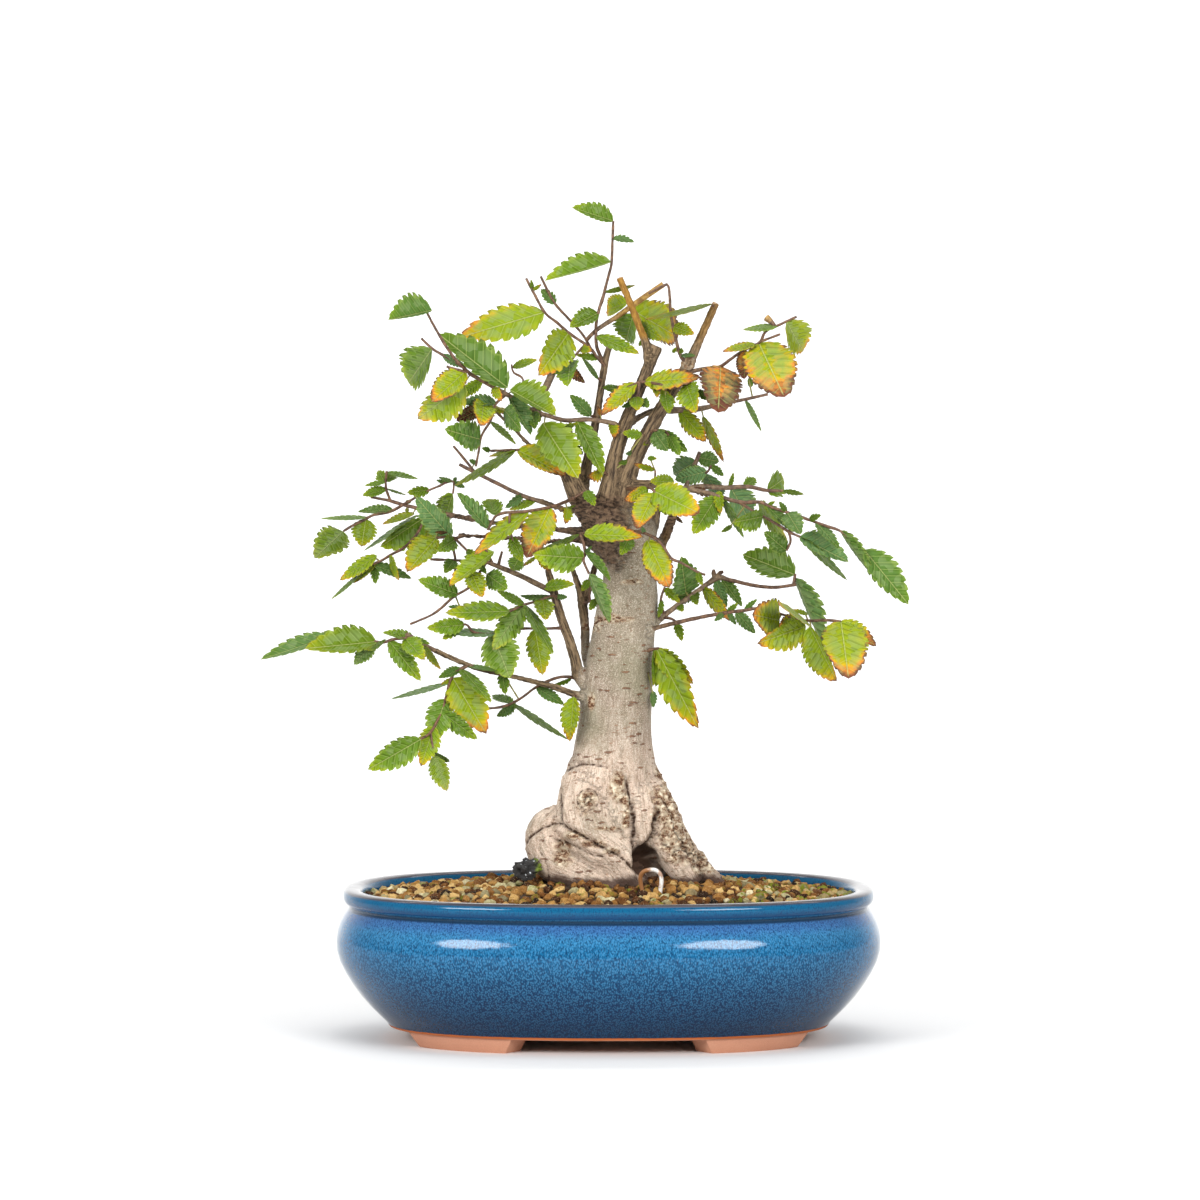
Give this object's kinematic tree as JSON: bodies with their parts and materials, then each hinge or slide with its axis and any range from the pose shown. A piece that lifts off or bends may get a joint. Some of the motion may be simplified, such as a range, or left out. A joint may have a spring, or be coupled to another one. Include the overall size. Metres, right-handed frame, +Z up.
{
  "type": "potted bonsai tree",
  "caption": "Small serrated-leaf elm-family tree with a stout trunk and swollen roots, growing in granular soil in an oval, blue-glazed pot on low feet.",
  "frame": {"origin": "the middle of the whole object's width and depth, at the plane that the pot's feet stand on", "axes": "+Z up, -Y towards the front as pictured, +X to the viewer's right"},
  "size_m": [0.3301, 0.225, 0.431],
  "materials": {
    "glaze": "glossy mottled blue glaze, feet bare",
    "soil": "loose fired granules, matte",
    "bark": "smooth pale bark with lenticels",
    "leaf": "thin satin leaves, green turning orange",
    "plastic_mesh": "matte",
    "dark_wire": "dark anodised",
    "white_wire": "white coat, rusty in places",
    "feed": "matte, pale specks"
  },
  "bodies": {
    "root": {"pot": "glaze", "drain_screen_1": "plastic_mesh", "drain_screen_2": "plastic_mesh", "tie_wire": "dark_wire", "soil": "soil", "feed_lump": "feed", "wire_loop": "white_wire", "wood": "bark", "shoot_top": "leaf", "shoot_leader_left": "leaf", "shoot_leader_middle": "leaf", "shoot_leader_foot": "leaf", "shoot_golden_stub": "leaf", "shoot_golden_twig": "leaf", "shoot_limb_tip": "leaf", "shoot_right_upper": "leaf", "shoot_middle_right": "leaf", "shoot_red_branch_right": "leaf", "shoot_right_limb_left": "leaf", "shoot_right_limb_right": "leaf", "shoot_red_branch_left": "leaf", "shoot_left_limb_tip": "leaf", "shoot_left_bare": "leaf", "shoot_left_end": "leaf", "shoot_left_middle": "leaf", "shoot_lower_left_limb": "leaf", "shoot_lower_left_side": "leaf", "shoot_lower_left_tip": "leaf", "shoot_lower_left_back": "leaf", "shoot_lower_left_low": "leaf", "shoot_lowest_foot": "leaf", "shoot_lowest_thin": "leaf", "shoot_lowest_drop": "leaf", "shoot_lowest_end": "leaf", "shoot_front_left": "leaf", "shoot_front_low": "leaf", "shoot_front_right": "leaf", "shoot_front_middle": "leaf", "shoot_middle_left": "leaf", "shoot_right_back": "leaf", "shoot_right_middle": "leaf", "shoot_right_front": "leaf", "shoot_lower_right_upper": "leaf", "shoot_lower_right_lower": "leaf", "shoot_trunk_right": "leaf"}
  },
  "joints": []
}
